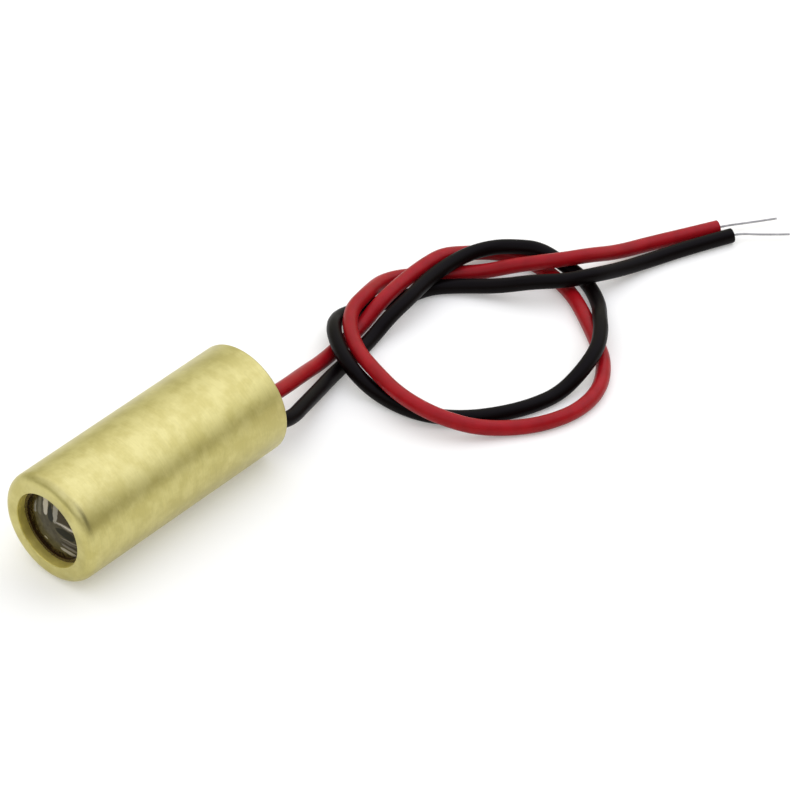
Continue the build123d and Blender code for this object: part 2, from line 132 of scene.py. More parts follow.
def makeTurnedGroup():
    tree, start, end = newGroup(
        "turnedRings",
        [("Vector", "NodeSocketVector", None), ("Rings", "NodeSocketFloat", 9.0),
         ("Along Ring", "NodeSocketFloat", 0.5), ("Patches", "NodeSocketFloat", 0.9)],
        [("Rings", "NodeSocketFloat"), ("Patches", "NodeSocketFloat")],
    )
    stretch = addNode(tree, "ShaderNodeCombineXYZ")
    tree.links.new(start.outputs["Along Ring"], stretch.inputs["X"])
    tree.links.new(start.outputs["Rings"], stretch.inputs["Y"])
    tree.links.new(start.outputs["Along Ring"], stretch.inputs["Z"])
    scaled = addNode(tree, "ShaderNodeVectorMath", operation="MULTIPLY")
    tree.links.new(start.outputs["Vector"], scaled.inputs[0])
    tree.links.new(stretch.outputs[0], scaled.inputs[1])
    fine = addNode(tree, "ShaderNodeTexNoise")
    fine.inputs["Scale"].default_value = 1 / mm
    fine.inputs["Detail"].default_value = turnedNoise["detail"]
    fine.inputs["Roughness"].default_value = turnedNoise["ringRoughness"]
    tree.links.new(scaled.outputs[0], fine.inputs["Vector"])
    patchScale = mathNode(tree, "DIVIDE", start.outputs["Patches"], mm)
    patches = addNode(tree, "ShaderNodeTexNoise")
    patches.inputs["Detail"].default_value = turnedNoise["detail"]
    patches.inputs["Roughness"].default_value = turnedNoise["patchRoughness"]
    tree.links.new(start.outputs["Vector"], patches.inputs["Vector"])
    tree.links.new(patchScale, patches.inputs["Scale"])
    tree.links.new(fine.outputs["Fac"], end.inputs["Rings"])
    tree.links.new(patches.outputs["Fac"], end.inputs["Patches"])
    return tree


# Fine pitting and slow swells of a moulded, cast or drawn surface
mouldedDetail = 3


def makeMouldedGroup():
    tree, start, end = newGroup(
        "mouldedGrain",
        [("Vector", "NodeSocketVector", None), ("Grain", "NodeSocketFloat", 8.0),
         ("Swell", "NodeSocketFloat", 0.6)],
        [("Grain", "NodeSocketFloat"), ("Swell", "NodeSocketFloat")],
    )
    for label in ("Grain", "Swell"):
        scale = mathNode(tree, "DIVIDE", start.outputs[label], mm)
        noise = addNode(tree, "ShaderNodeTexNoise")
        noise.inputs["Detail"].default_value = mouldedDetail
        tree.links.new(start.outputs["Vector"], noise.inputs["Vector"])
        tree.links.new(scale, noise.inputs["Scale"])
        tree.links.new(noise.outputs["Fac"], end.inputs[label])
    return tree


turnedRings = makeTurnedGroup()
mouldedGrain = makeMouldedGroup()


def placeGroup(tree, group, vector, **values):
    node = addNode(tree, "ShaderNodeGroup", node_tree=group)
    tree.links.new(vector, node.inputs["Vector"])
    for label, value in values.items():
        node.inputs[label.replace("_", " ")].default_value = value
    return node


def newMaterial(name, look):
    material = bpy.data.materials.new(name)
    material.use_nodes = True
    tree = material.node_tree
    shader = tree.nodes["Principled BSDF"]
    shader.inputs["Base Color"].default_value = fullColour(look["colour"])
    shader.inputs["Roughness"].default_value = look["roughness"]
    shader.inputs["Metallic"].default_value = look.get("metallic", 0)
    shader.inputs["Specular IOR Level"].default_value = look.get("specular", 0.5)
    coords = addNode(tree, "ShaderNodeTexCoord")
    return material, tree, shader, coords.outputs["Object"]


def addBump(tree, shader, height, strength, distance):
    bump = addNode(tree, "ShaderNodeBump")
    bump.inputs["Strength"].default_value = strength
    bump.inputs["Distance"].default_value = distance
    tree.links.new(height, bump.inputs["Height"])
    tree.links.new(bump.outputs["Normal"], shader.inputs["Normal"])


def shade(tone, factor):
    return tuple(min(1, part * factor) for part in tone)


# Brass and other turned metal
def turnedMetal(name, look):
    material, tree, shader, place = newMaterial(name, look)
    rings = placeGroup(tree, turnedRings, place, Rings=look["rings"], Along_Ring=look["alongRing"],
                       Patches=look["patches"])
    tones = (shade(look["colour"], look["darker"]), look["colour"], shade(look["colour"], look["lighter"]))
    ringTone = rampNode(tree, rings.outputs["Rings"], list(zip(turnedNoise["ringStops"], tones)))
    dulled = rampNode(tree, rings.outputs["Patches"],
                      [(look["dullBelow"], look["dulled"]), (look["cleanAbove"], 1.0)])
    tree.links.new(mixColour(tree, 1.0, ringTone, dulled, "MULTIPLY"), shader.inputs["Base Color"])
    ringRough = mathNode(tree, "MULTIPLY_ADD", rings.outputs["Rings"], look["roughSpread"],
                         look["roughness"] - look["roughSpread"])
    rough = mathNode(tree, "MULTIPLY_ADD", rings.outputs["Patches"], look["roughSpread"], ringRough)
    tree.links.new(rough, shader.inputs["Roughness"])
    addBump(tree, shader, rings.outputs["Rings"], look["bump"], bumpDepth)
    return material


# Plastic, resin, ceramic, solder and tinned metal. A look names what differs from this plain finish
plainFinish = {
    "grain": 8.0,
    "swell": 0.6,
    "darker": 0.85,
    "bump": 0.15,
    "swellStops": (0.3, 0.65),  # where the tone is darkest and plain
    "roughSpread": 0.12,
}


def mouldedSurface(name, ownLook):
    look = {**plainFinish, **ownLook}
    material, tree, shader, place = newMaterial(name, look)
    grain = placeGroup(tree, mouldedGrain, place, Grain=look["grain"], Swell=look["swell"])
    tones = (shade(look["colour"], look["darker"]), look["colour"])
    tree.links.new(rampNode(tree, grain.outputs["Swell"], list(zip(look["swellStops"], tones))),
                   shader.inputs["Base Color"])
    rough = mathNode(tree, "MULTIPLY_ADD", grain.outputs["Grain"], look["roughSpread"],
                     look["roughness"] - look["roughSpread"] / 2)
    tree.links.new(rough, shader.inputs["Roughness"])
    addBump(tree, shader, grain.outputs["Grain"], look["bump"], bumpDepth)
    return material


def dress(node, material):
    mesh = cadNodes[node].data
    mesh.materials.clear()
    mesh.materials.append(material)


# A shape turned round the barrel's axis, from a profile of (y, radius)
def turn(profile, steps, closed=True):
    mesh = bmesh.new()
    points = [mesh.verts.new((0, y, axisHeight + radius)) for y, radius in profile]
    edges = [mesh.edges.new(pair) for pair in zip(points, points[1:])]
    if closed:
        edges.append(mesh.edges.new((points[-1], points[0])))
    bmesh.ops.spin(mesh, geom=points + edges, cent=(0, 0, axisHeight), axis=(0, 1, 0), dvec=(0, 0, 0),
                   angle=2 * pi, steps=steps, use_merge=True, use_duplicate=False)
    bmesh.ops.remove_doubles(mesh, verts=mesh.verts, dist=tiny / 10)
    bmesh.ops.recalc_face_normals(mesh, faces=mesh.faces)
    return mesh


# Rounds off the ring edge at this y and radius
def roundRing(mesh, y, radius, size, segments):
    ring = []
    for edge in mesh.edges:
        places = [(end.co.y, hypot(end.co.x, end.co.z - axisHeight)) for end in edge.verts]
        if all(abs(place[0] - y) < tiny and abs(place[1] - radius) < tiny for place in places):
            ring.append(edge)
    bmesh.ops.bevel(mesh, geom=ring, offset=size, offset_type="OFFSET", segments=segments, profile=0.5,
                    affect="EDGES", material=-1)


def finishPiece(name, mesh, material, sharpAngle=35):
    data = bpy.data.meshes.new(name)
    mesh.to_mesh(data)
    mesh.free()
    data.shade_smooth()
    data.set_sharp_from_angle(angle=radians(sharpAngle))
    data.materials.append(material)
    piece = bpy.data.objects.new(name, data)
    bpy.context.scene.collection.objects.link(piece)
    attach(piece, "root")
    return piece


# Barrel: one turned shell with its lip, its two bores and its broken edges
barrelLook = {
    "colour": (0.575, 0.52, 0.212),
    "roughness": 0.38,
    "metallic": 1.0,
    "rings": 14.0,
    "alongRing": 0.8,
    "patches": 0.6,
    "lighter": 1.05,
    "darker": 0.94,
    "dulled": (0.85, 0.835, 0.74),
    "dullBelow": 0.40,
    "cleanAbove": 0.60,
    "roughSpread": 0.14,
    "bump": 0.12,
}
# Painted light: the bore's brass is a lighter copy of the barrel's, so that the inside, where little light
# falls, looks lit
paintedLightBoreLook = dict(barrelLook, colour=(0.88, 0.78, 0.24), roughness=0.62)  # inside, where little light falls
barrelShape = {
    "aperture": 3.05 * mm,
    "apertureBreak": 0.1 * mm,
    "frontRound": 0.8 * mm,
    "rearBreak": 0.16 * mm,
    "boreBreak": 0.06 * mm,
    "roundSegments": 10,
    "breakSegments": 3,
    "boreSegments": 2,
    "steps": 192,
    "inwardBelow": -0.9,  # a face looks into the bore if its normal has less than this outwards
}


def makeBarrel():
    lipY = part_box("lens_ring")[0].y
    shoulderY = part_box("diode_holder")[0].y
    shell = turn([
        (frontY, barrelShape["aperture"]), (frontY, barrelRadius), (rearY, barrelRadius), (rearY, rearBore),
        (shoulderY, rearBore), (shoulderY, frontBore), (lipY, frontBore), (lipY, barrelShape["aperture"]),
    ], barrelShape["steps"])
    roundRing(shell, frontY, barrelRadius, barrelShape["frontRound"], barrelShape["roundSegments"])
    roundRing(shell, frontY, barrelShape["aperture"], barrelShape["apertureBreak"],
              barrelShape["breakSegments"])
    roundRing(shell, rearY, barrelRadius, barrelShape["rearBreak"], barrelShape["breakSegments"])
    roundRing(shell, rearY, rearBore, barrelShape["boreBreak"], barrelShape["boreSegments"])
    piece = finishPiece("barrel", shell, turnedMetal("barrelBrass", barrelLook))
    piece.data.materials.append(turnedMetal("boreBrassPaintedLight", paintedLightBoreLook))
    # faces that look into the bore take the lighter copy, which is painted light
    for face in piece.data.polygons:
        outward = Vector((face.center.x, 0, face.center.z - axisHeight)).normalized()
        if face.normal.dot(outward) < barrelShape["inwardBelow"]:
            face.material_index = 1
    return piece


barrel = makeBarrel()
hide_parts("housing")
print("stage: barrel")

# Front lens: a smoke-dark moulded dome with painted reflections: its dark leaves and pale streaks stand in
# for what the clear lens reflects and shows of the parts behind it
frontLens = {
    "smoke": (0.070, 0.059, 0.030),
    "smokeStops": [(0.35, 0.78), (0.65, 1.22)],  # the grain's value, and how light the smoke is there
    "roughness": 0.24,
    "specular": 0.08,
    "grain": 2.2,
    "swell": 1.1,
    # painted reflections and glints: middle from the axis, half length and half width in mm, turn in
    # degrees from +X, taper, corners, tone
    "leaves": [
        ((-2.08, 1.50), (1.30, 0.25), 90, 0.0, 6, (0.26, 0.255, 0.23)),
        ((-1.68, 1.60), (1.15, 0.09), 90, 0.0, 4, (0.080, 0.075, 0.050)),
        ((-1.42, 1.55), (1.20, 0.18), 90, 0.0, 6, (0.130, 0.120, 0.078)),
        ((-1.13, 1.70), (1.00, 0.11), 91, 0.0, 4, (0.068, 0.060, 0.034)),
        ((-0.78, 1.90), (1.20, 0.27), 92, 0.15, 4, (0.48, 0.44, 0.35)),
        ((0.26, 1.45), (1.00, 0.24), 89, 0.25, 4, (0.31, 0.29, 0.23)),
        ((-0.22, 1.14), (0.82, 0.29), 97, -0.45, 2, (0.022, 0.022, 0.012)),
        ((1.52, 1.72), (1.04, 1.00), -4, 0.0, 7, (0.056, 0.044, 0.023)),
        ((1.10, 0.56), (1.00, 0.17), -4, 0.35, 2, (0.22, 0.20, 0.16)),
        ((1.25, 0.56), (1.00, 0.07), -5, 0.6, 2, (0.56, 0.51, 0.41)),
        ((1.16, -0.10), (0.94, 0.42), -12, 0.35, 2, (0.017, 0.016, 0.006)),
        ((1.50, -0.70), (0.85, 0.08), -6, 0.3, 2, (0.18, 0.160, 0.115)),
        ((1.50, -0.92), (0.80, 0.10), -7, 0.3, 2, (0.10, 0.085, 0.060)),
        ((1.52, -1.14), (0.85, 0.09), -9, 0.2, 2, (0.034, 0.026, 0.015)),
        ((1.50, -1.40), (0.90, 0.13), -11, 0.2, 2, (0.17, 0.150, 0.125)),
        ((1.45, -1.66), (0.90, 0.07), -12, 0.2, 2, (0.060, 0.050, 0.034)),
        ((1.42, -1.98), (0.95, 0.23), -14, 0.1, 3, (0.37, 0.340, 0.290)),
        # the three small pale leaves from here on are painted glints
        ((-0.96, -1.62), (0.19, 0.09), -25, 0.0, 2, (0.42, 0.380, 0.270)),
        ((-2.50, -0.55), (0.22, 0.10), -40, 0.0, 2, (0.36, 0.320, 0.220)),
        ((-1.75, -1.60), (0.24, 0.07), 70, 0.0, 2, (0.30, 0.250, 0.120)),
    ],
    "softness": 0.30,
    "waver": 0.28 * mm,  # how far the leaves' edges stray
    # the brown rim's amber flecks, scattered by the grain, are painted glints
    "rim": (0.022, 0.013, 0.002),
    "rimGlintAmber": (0.085, 0.060, 0.016),
    "amberStops": (0.48, 0.70),  # the grain's values where the rim is brown and where it is amber
    "rimMiddle": (0.55, 0.30),  # the brown rim is wider at the lower left
    "rimFrom": 2.50,
    "rimTo": 2.75,
    "flatten": 1000,  # the rim's ring is the same at every depth, so Y is scaled away
    "steps": 128,
    "arcPoints": 14,
    "domeInset": 0.35 * mm,
    "sharpAngle": 50,
}
leastSpread = 0.05  # a tapered leaf's end is never narrower than this share of its middle


# A soft-edged pointed oval across X and Z, in a vector that a Mapping node has centred, turned and sized
def makeLeafGroup():
    tree, start, end = newGroup(
        "leafShape",
        [("Vector", "NodeSocketVector", None), ("Taper", "NodeSocketFloat", 0.0),
         ("Corners", "NodeSocketFloat", 2.0), ("Softness", "NodeSocketFloat", 0.3)],
        [("Mask", "NodeSocketFloat")],
    )
    split = addNode(tree, "ShaderNodeSeparateXYZ")
    tree.links.new(start.outputs["Vector"], split.inputs[0])
    spread = mathNode(tree, "MULTIPLY_ADD", split.outputs["X"], start.outputs["Taper"], 1.0)
    across = mathNode(tree, "DIVIDE", split.outputs["Z"], mathNode(tree, "MAXIMUM", spread, leastSpread))
    corners = start.outputs["Corners"]
    lengthways = mathNode(tree, "POWER", mathNode(tree, "ABSOLUTE", split.outputs["X"]), corners)
    sideways = mathNode(tree, "POWER", mathNode(tree, "ABSOLUTE", across), corners)
    inside = mathNode(tree, "SUBTRACT", 1.0, mathNode(tree, "ADD", lengthways, sideways))
    mask = mathNode(tree, "DIVIDE", inside, start.outputs["Softness"], clamp=True)
    tree.links.new(mask, end.inputs["Mask"])
    return tree


leafShape = makeLeafGroup()


def frontLensMaterial():
    look = dict(frontLens, colour=frontLens["smoke"])
    material, tree, shader, place = newMaterial("frontLensSmokeAndReflections", look)
    grain = placeGroup(tree, mouldedGrain, place, Grain=frontLens["grain"], Swell=frontLens["swell"])
    smokeTones = [(value, shade(frontLens["smoke"], factor)) for value, factor in frontLens["smokeStops"]]
    shown = rampNode(tree, grain.outputs["Grain"], smokeTones)
    stray = addNode(tree, "ShaderNodeCombineXYZ")
    for axis, label in (("X", "Grain"), ("Z", "Swell")):
        offset = mathNode(tree, "SUBTRACT", grain.outputs[label], 0.5)
        tree.links.new(mathNode(tree, "MULTIPLY", offset, frontLens["waver"]), stray.inputs[axis])
    wavered = addNode(tree, "ShaderNodeVectorMath", operation="ADD")
    tree.links.new(place, wavered.inputs[0])
    tree.links.new(stray.outputs[0], wavered.inputs[1])
    # each leaf paints one reflection onto the lens; the small pale ones are glints
    for middle, half, turned, taper, corners, tone in frontLens["leaves"]:
        fitted = addNode(tree, "ShaderNodeMapping", vector_type="TEXTURE")
        fitted.inputs["Location"].default_value = (middle[0] * mm, 0, middle[1] * mm + axisHeight)
        fitted.inputs["Rotation"].default_value = (0, radians(-turned), 0)
        fitted.inputs["Scale"].default_value = (half[0] * mm, mm, half[1] * mm)
        tree.links.new(wavered.outputs[0], fitted.inputs["Vector"])
        leaf = placeGroup(tree, leafShape, fitted.outputs[0], Taper=taper, Corners=corners,
                          Softness=frontLens["softness"])
        shown = mixColour(tree, leaf.outputs["Mask"], shown, tone)
    centred = addNode(tree, "ShaderNodeMapping", vector_type="TEXTURE")
    centred.inputs["Location"].default_value = (frontLens["rimMiddle"][0] * mm, 0,
                                                frontLens["rimMiddle"][1] * mm + axisHeight)
    centred.inputs["Scale"].default_value = (mm, frontLens["flatten"], mm)
    tree.links.new(wavered.outputs[0], centred.inputs["Vector"])
    outward = addNode(tree, "ShaderNodeVectorMath", operation="LENGTH")
    tree.links.new(centred.outputs[0], outward.inputs[0])
    rimMask = addNode(tree, "ShaderNodeMapRange")
    rimMask.inputs["From Min"].default_value = frontLens["rimFrom"]
    rimMask.inputs["From Max"].default_value = frontLens["rimTo"]
    tree.links.new(outward.outputs["Value"], rimMask.inputs["Value"])
    # the brown rim, flecked with painted amber glints
    rim = rampNode(tree, grain.outputs["Grain"],
                   list(zip(frontLens["amberStops"], (frontLens["rim"], frontLens["rimGlintAmber"]))))
    tree.links.new(mixColour(tree, rimMask.outputs[0], shown, rim), shader.inputs["Base Color"])
    return material


def makeFrontLens():
    low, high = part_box("front_lens")
    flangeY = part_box("lens_ring")[1].y
    height = flangeY - low.y
    foot = barrelShape["aperture"] - frontLens["domeInset"]
    domeRadius = (foot**2 + height**2) / (2 * height)
    profile = []
    for step in range(frontLens["arcPoints"]):
        out = foot * step / (frontLens["arcPoints"] - 1)
        profile.append((low.y + domeRadius - (domeRadius**2 - out**2) ** 0.5, out))
    profile += [(flangeY, high.x), (high.y, high.x), (high.y, 0)]
    lens = turn(profile, frontLens["steps"], closed=False)
    return finishPiece("frontLensDome", lens, frontLensMaterial(), frontLens["sharpAngle"])


ringLook = {"colour": (0.035, 0.016, 0.005), "roughness": 0.28}
frontLensDome = makeFrontLens()
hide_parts("front_lens")
dress("lens_ring", mouldedSurface("ringBrown", ringLook))
print("stage: front lens")

# Potting: a cast plug whose rear face sinks towards its middle, where the resin shrank
potting = {
    "look": {"colour": (0.010, 0.010, 0.010), "roughness": 0.20, "swell": 0.9},
    "dish": 0.2 * mm,
    "arcPoints": 10,
    "steps": 128,
    "sharpAngle": 50,
}


def makePotting():
    low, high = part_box("potting")
    edge = high.x
    dish = potting["dish"]
    dishRadius = (edge**2 + dish**2) / (2 * dish)
    profile = [(low.y, 0), (low.y, edge)]
    for step in range(potting["arcPoints"]):
        out = edge * (1 - step / (potting["arcPoints"] - 1))
        profile.append((high.y - dish + dishRadius - (dishRadius**2 - out**2) ** 0.5, out))
    plug = turn(profile, potting["steps"], closed=False)
    resin = mouldedSurface("pottingResin", potting["look"])
    return finishPiece("pottingPlug", plug, resin, potting["sharpAngle"])


pottingPlug = makePotting()
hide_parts("potting")
print("stage: potting")

# Wires: their routes are centre lines in millimetres, as x, distance behind the barrel, and height
wireLook = {
    "diameter": 1.2 * mm,
    "bevelSteps": 6,
    "curveSteps": 10,
    "finish": {"grain": 12.0, "swell": 0.9, "bump": 0.2, "darker": 0.8},
}
redWire = {
    "colour": (0.345, 0.0048, 0.0085),
    "roughness": 0.38,
    "specular": 0.17,
    "length": 118.7 * mm,
    "exit": (0.6, -0.5, 3.65),
    "route": [
        (0.6, -1.8, 3.65), (0.6, 1.1, 3.65), (0.2, 4.2, 3.0), (-0.9, 7.5, 1.8), (-1.7, 10.5, 0.8),
        (-2.2, 13.2, 0.6), (-2.5, 15.9, 0.7), (-2.5, 18.3, 1.9), (-2.9, 21.2, 1.9), (-3.0, 23.9, 1.95),
        (-2.9, 26.1, 1.85), (-2.5, 28.2, 1.0), (-1.4, 30.1, 0.6), (0.6, 31.1, 0.6), (2.8, 31.2, 0.6),
        (5.1, 30.8, 0.6), (7.5, 29.9, 0.6), (9.9, 28.4, 0.6), (12.1, 26.9, 0.6), (14.6, 25.0, 0.6),
        (16.4, 22.2, 0.6), (16.8, 19.2, 0.6), (15.9, 16.3, 0.6), (14.3, 14.1, 0.6), (12.6, 12.1, 1.0),
        (10.8, 10.8, 1.6), (8.7, 10.2, 1.95), (6.1, 10.4, 1.95), (3.4, 11.2, 1.95), (0.3, 12.3, 1.95),
        (-2.1, 14.1, 2.0), (-3.5, 16.0, 1.95), (-3.8, 17.9, 2.05), (-4.8, 20.8, 1.2), (-4.5, 23.0, 0.65),
        (-3.0, 24.6, 0.6), (-1.4, 26.2, 0.7), (0.1, 27.6, 0.8), (2.0, 28.9, 1.6), (3.6, 30.2, 2.0),
        (4.9, 31.7, 2.1), (5.9, 33.6, 1.95), (6.5, 36.3, 1.0), (7.4, 39.4, 0.6), (8.8, 42.1, 0.6),
        (10.1, 44.7, 0.6),
    ],
    "tip": (12.8, 48.9, 0.5),
}
blackWire = {
    "colour": (0.0028, 0.0014, 0.0014),
    "roughness": 0.40,
    "specular": 0.065,
    "length": 118.0 * mm,
    "exit": (1.9, -0.5, 3.65),
    "route": [
        (1.9, -1.8, 3.65), (1.9, -0.8, 3.65), (2.5, 0.8, 2.9), (2.65, 2.4, 2.45), (2.0, 4.4, 2.1),
        (1.05, 6.9, 1.4), (-0.2, 10.3, 0.6), (-0.5, 13.0, 0.6), (-0.9, 15.4, 0.7), (-1.0, 17.6, 1.5),
        (-1.1, 20.1, 1.9), (-1.6, 22.7, 1.9), (-1.7, 25.3, 1.9), (-1.4, 27.6, 1.9), (-0.5, 29.5, 1.9),
        (0.8, 30.7, 1.9), (2.4, 31.7, 1.9), (4.4, 32.4, 0.9), (6.4, 32.3, 0.6), (8.2, 31.4, 0.6),
        (10.0, 29.9, 0.95), (11.4, 28.2, 1.7), (12.7, 26.8, 1.9), (14.0, 24.8, 1.9), (14.5, 22.4, 1.4),
        (14.4, 19.9, 0.6), (13.8, 17.3, 0.6), (12.6, 14.9, 0.6), (10.9, 12.7, 0.6), (8.6, 11.1, 0.6),
        (6.0, 10.5, 0.6), (3.3, 10.5, 0.8), (1.23, 10.54, 1.75), (-0.75, 11.47, 2.0), (-2.85, 13.05, 1.95),
        (-4.25, 15.05, 1.2), (-4.4, 17.0, 0.6), (-3.8, 18.8, 0.6), (-2.6, 20.6, 0.6), (-2.0, 23.3, 0.6),
        (-0.3, 25.1, 0.6), (2.4, 26.6, 1.05), (4.7, 28.0, 1.85), (6.7, 29.7, 2.0), (7.9, 31.8, 2.0),
        (8.2, 34.6, 1.1), (8.8, 37.7, 0.6), (10.0, 41.0, 0.6), (11.6, 44.6, 0.6),
    ],
    "tip": (14.9, 47.9, 0.5),
}
bareEnd = {
    "strandDiameter": 0.062 * mm,
    "lay": 1.6 * mm,  # length of one turn of the twist
    "around": 6,  # strands round the middle one
    "straight": 0.6 * mm,  # in line with the wire, before the end's bend
    "bendShare": 0.55,  # of the way from the wire to the tip, where the end's bend is over
    "curveSteps": 24,
    "strandSteps": 2,
    "bevelSteps": 2,
    "tuckIn": 0.1 * mm,  # start inside the insulation
}


# A place in metres, from millimetres counted from the barrel's rear
def inRow(point):
    return Vector((point[0] * mm, rearY + point[1] * mm, point[2] * mm))


def addSpline(curve, points):
    spline = curve.splines.new("NURBS")
    spline.points.add(len(points) - 1)
    for target, point in zip(spline.points, points):
        target.co = (*point, 1)
    spline.order_u = 3
    spline.use_endpoint_u = True
    return spline


def newCurve(name, steps):
    curve = bpy.data.curves.new(name, "CURVE")
    curve.dimensions = "3D"
    curve.resolution_u = steps
    curve.use_fill_caps = True
    shape = bpy.data.objects.new(name, curve)
    bpy.context.scene.collection.objects.link(shape)
    return shape, curve


def makeWire(name, settings):
    wire, curve = newCurve(name, wireLook["curveSteps"])
    curve.bevel_depth = wireLook["diameter"] / 2
    curve.bevel_resolution = wireLook["bevelSteps"]
    addSpline(curve, [inRow(point) for point in settings["route"]])
    look = dict(wireLook["finish"], colour=settings["colour"], roughness=settings["roughness"],
                specular=settings["specular"])
    curve.materials.append(mouldedSurface(name + "Insulation", look))
    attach(wire, "root")
    return wire


# Points along a NURBS spline, which its own mesh gives where it has no bevel
def readLine(points, steps):
    shape, curve = newCurve("line", steps)
    addSpline(curve, points)
    bpy.context.view_layer.update()
    mesh = bpy.data.meshes.new_from_object(shape)
    line = [vertex.co.copy() for vertex in mesh.vertices]
    bpy.data.objects.remove(shape)
    bpy.data.curves.remove(curve)
    bpy.data.meshes.remove(mesh)
    return line


# Bare end: tinned strands laid round a middle one
def makeBareEnd(name, settings, material):
    last = inRow(settings["route"][-1])
    along = (last - inRow(settings["route"][-2])).normalized()
    tip = inRow(settings["tip"])
    middle = readLine([last - along * bareEnd["tuckIn"], last + along * bareEnd["straight"],
                       last.lerp(tip, bareEnd["bendShare"]), tip], bareEnd["curveSteps"])
    end, curve = newCurve(name, bareEnd["strandSteps"])
    curve.bevel_depth = bareEnd["strandDiameter"] / 2
    curve.bevel_resolution = bareEnd["bevelSteps"]
    addSpline(curve, middle)
    travelled = [0.0]
    for first, second in zip(middle, middle[1:]):
        travelled.append(travelled[-1] + (second - first).length)
    for strand in range(bareEnd["around"]):
        points = []
        for index, point in enumerate(middle):
            ahead = middle[min(index + 1, len(middle) - 1)] - middle[max(index - 1, 0)]
            side = ahead.cross(Vector((0, 0, 1))).normalized()
            over = side.cross(ahead).normalized()
            angle = 2 * pi * (travelled[index] / bareEnd["lay"] + strand / bareEnd["around"])
            points.append(point + (side * cos(angle) + over * sin(angle)) * bareEnd["strandDiameter"])
        addSpline(curve, points)
    curve.materials.append(material)
    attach(end, "root")
    return end


tinnedLook = {"colour": (0.50, 0.49, 0.47), "roughness": 0.38, "metallic": 1.0, "grain": 20.0, "swell": 2.0,
              "darker": 0.7}
tinned = mouldedSurface("tinnedStrands", tinnedLook)
redInsulation = makeWire("redWire", redWire)
blackInsulation = makeWire("blackWire", blackWire)
redBareEnd = makeBareEnd("redBareEnd", redWire, tinned)
blackBareEnd = makeBareEnd("blackBareEnd", blackWire, tinned)
for piece, node, slot in ((redInsulation, "red_wire", "insulation_red"),
                          (blackInsulation, "black_wire", "insulation_black"),
                          (redBareEnd, "red_wire_end", "tinned_copper"),
                          (blackBareEnd, "black_wire_end", "tinned_copper")):
    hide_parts(node)
print("stage: wires")

# Inner pieces
brassLook = dict(barrelLook, colour=(0.60, 0.50, 0.20), roughness=0.3)
giltLook = dict(brassLook, colour=(0.78, 0.58, 0.22), rings=6.0)
plateLook = dict(brassLook, colour=(0.58, 0.57, 0.54), rings=8.0, dulled=(0.88, 0.87, 0.85))
solderLook = {"colour": (0.56, 0.56, 0.57), "roughness": 0.25, "metallic": 1.0, "swell": 1.5,
              "darker": 0.75}
turnedNodes = {
    "innerBrass": (["lens_cell", "lens_retainer", "diode_holder"], brassLook),
    "thinGilt": (["diode_base", "heat_post", "diode_leads"], giltLook),
    "nickelPlate": (["diode_cap", "trimmer_rotor"], plateLook),
    "springWire": (["focus_spring"], dict(plateLook, colour=(0.42, 0.42, 0.42), rings=3.0)),
}
mouldedNodes = {
    "solder": (["lead_solder", "wire_solder"], solderLook),
    "tinnedCopper": (["red_inner_end", "black_inner_end", "board_pads"], tinnedLook),
    "ceramic": (["submount", "trimmer"], {"colour": (0.72, 0.70, 0.63), "roughness": 0.5}),
    "polishedDie": (["laser_chip", "monitor_photodiode"],
                    {"colour": (0.03, 0.03, 0.045), "roughness": 0.14}),
    "mouldedEpoxy": (["driver_transistor"], {"colour": (0.018, 0.018, 0.018), "roughness": 0.48}),
    "sealGlass": (["lead_seals"], {"colour": (0.05, 0.07, 0.06), "roughness": 0.08}),
}
chips = {
    "resistors": {"colour": (0.02, 0.02, 0.024), "capWidth": 0.28 * mm},
    "capacitor": {"colour": (0.36, 0.25, 0.13), "capWidth": 0.32 * mm},
}
chipFinish = {
    "roughness": 0.35,
    "grain": 10.0,
    "swell": 1.2,
    "bump": 0.2,
    "cap": [(0.3, (0.45, 0.45, 0.46)), (0.7, (0.62, 0.62, 0.63))],
}
boardLook = {
    "colour": (0.012, 0.11, 0.045),
    "darker": 0.85,
    "roughness": 0.28,
    "trace": (0.05, 0.26, 0.10),
    "traceWidth": 0.09,
    "laneLength": 1.7,
    "laneWidth": 0.9,
    "grain": 14.0,
    "swell": 2.5,
    "weave": [(0.35, 0.88), (0.65, 1.0)],
    "bump": 0.3,
    "traceHeight": 0.02 * mm,
}
clearLook = {
    "colour": (0.95, 0.98, 0.97),
    "roughness": 0.03,
    "ior": 1.52,
    "grain": 9.0,
    "swell": 0.8,
    "dust": [(0.60, 0.03), (0.75, 0.22)],  # the grain's value, and how rough the glass is there
}


# A chip part: a glazed body with tinned caps at its two ends
def cappedChip(node, ownLook):
    low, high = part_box(node)
    look = {**chipFinish, **ownLook}
    material, tree, shader, place = newMaterial(node + "Chip", look)
    split = addNode(tree, "ShaderNodeSeparateXYZ")
    tree.links.new(place, split.inputs[0])
    offMiddle = mathNode(tree, "SUBTRACT", split.outputs["X"], (low.x + high.x) / 2)
    fromMiddle = mathNode(tree, "ABSOLUTE", offMiddle)
    onCap = mathNode(tree, "GREATER_THAN", fromMiddle, (high.x - low.x) / 2 - look["capWidth"])
    grain = placeGroup(tree, mouldedGrain, place, Grain=look["grain"], Swell=look["swell"])
    cap = rampNode(tree, grain.outputs["Swell"], look["cap"])
    tree.links.new(mixColour(tree, onCap, look["colour"], cap), shader.inputs["Base Color"])
    tree.links.new(onCap, shader.inputs["Metallic"])
    addBump(tree, shader, grain.outputs["Grain"], look["bump"], bumpDepth)
    return material


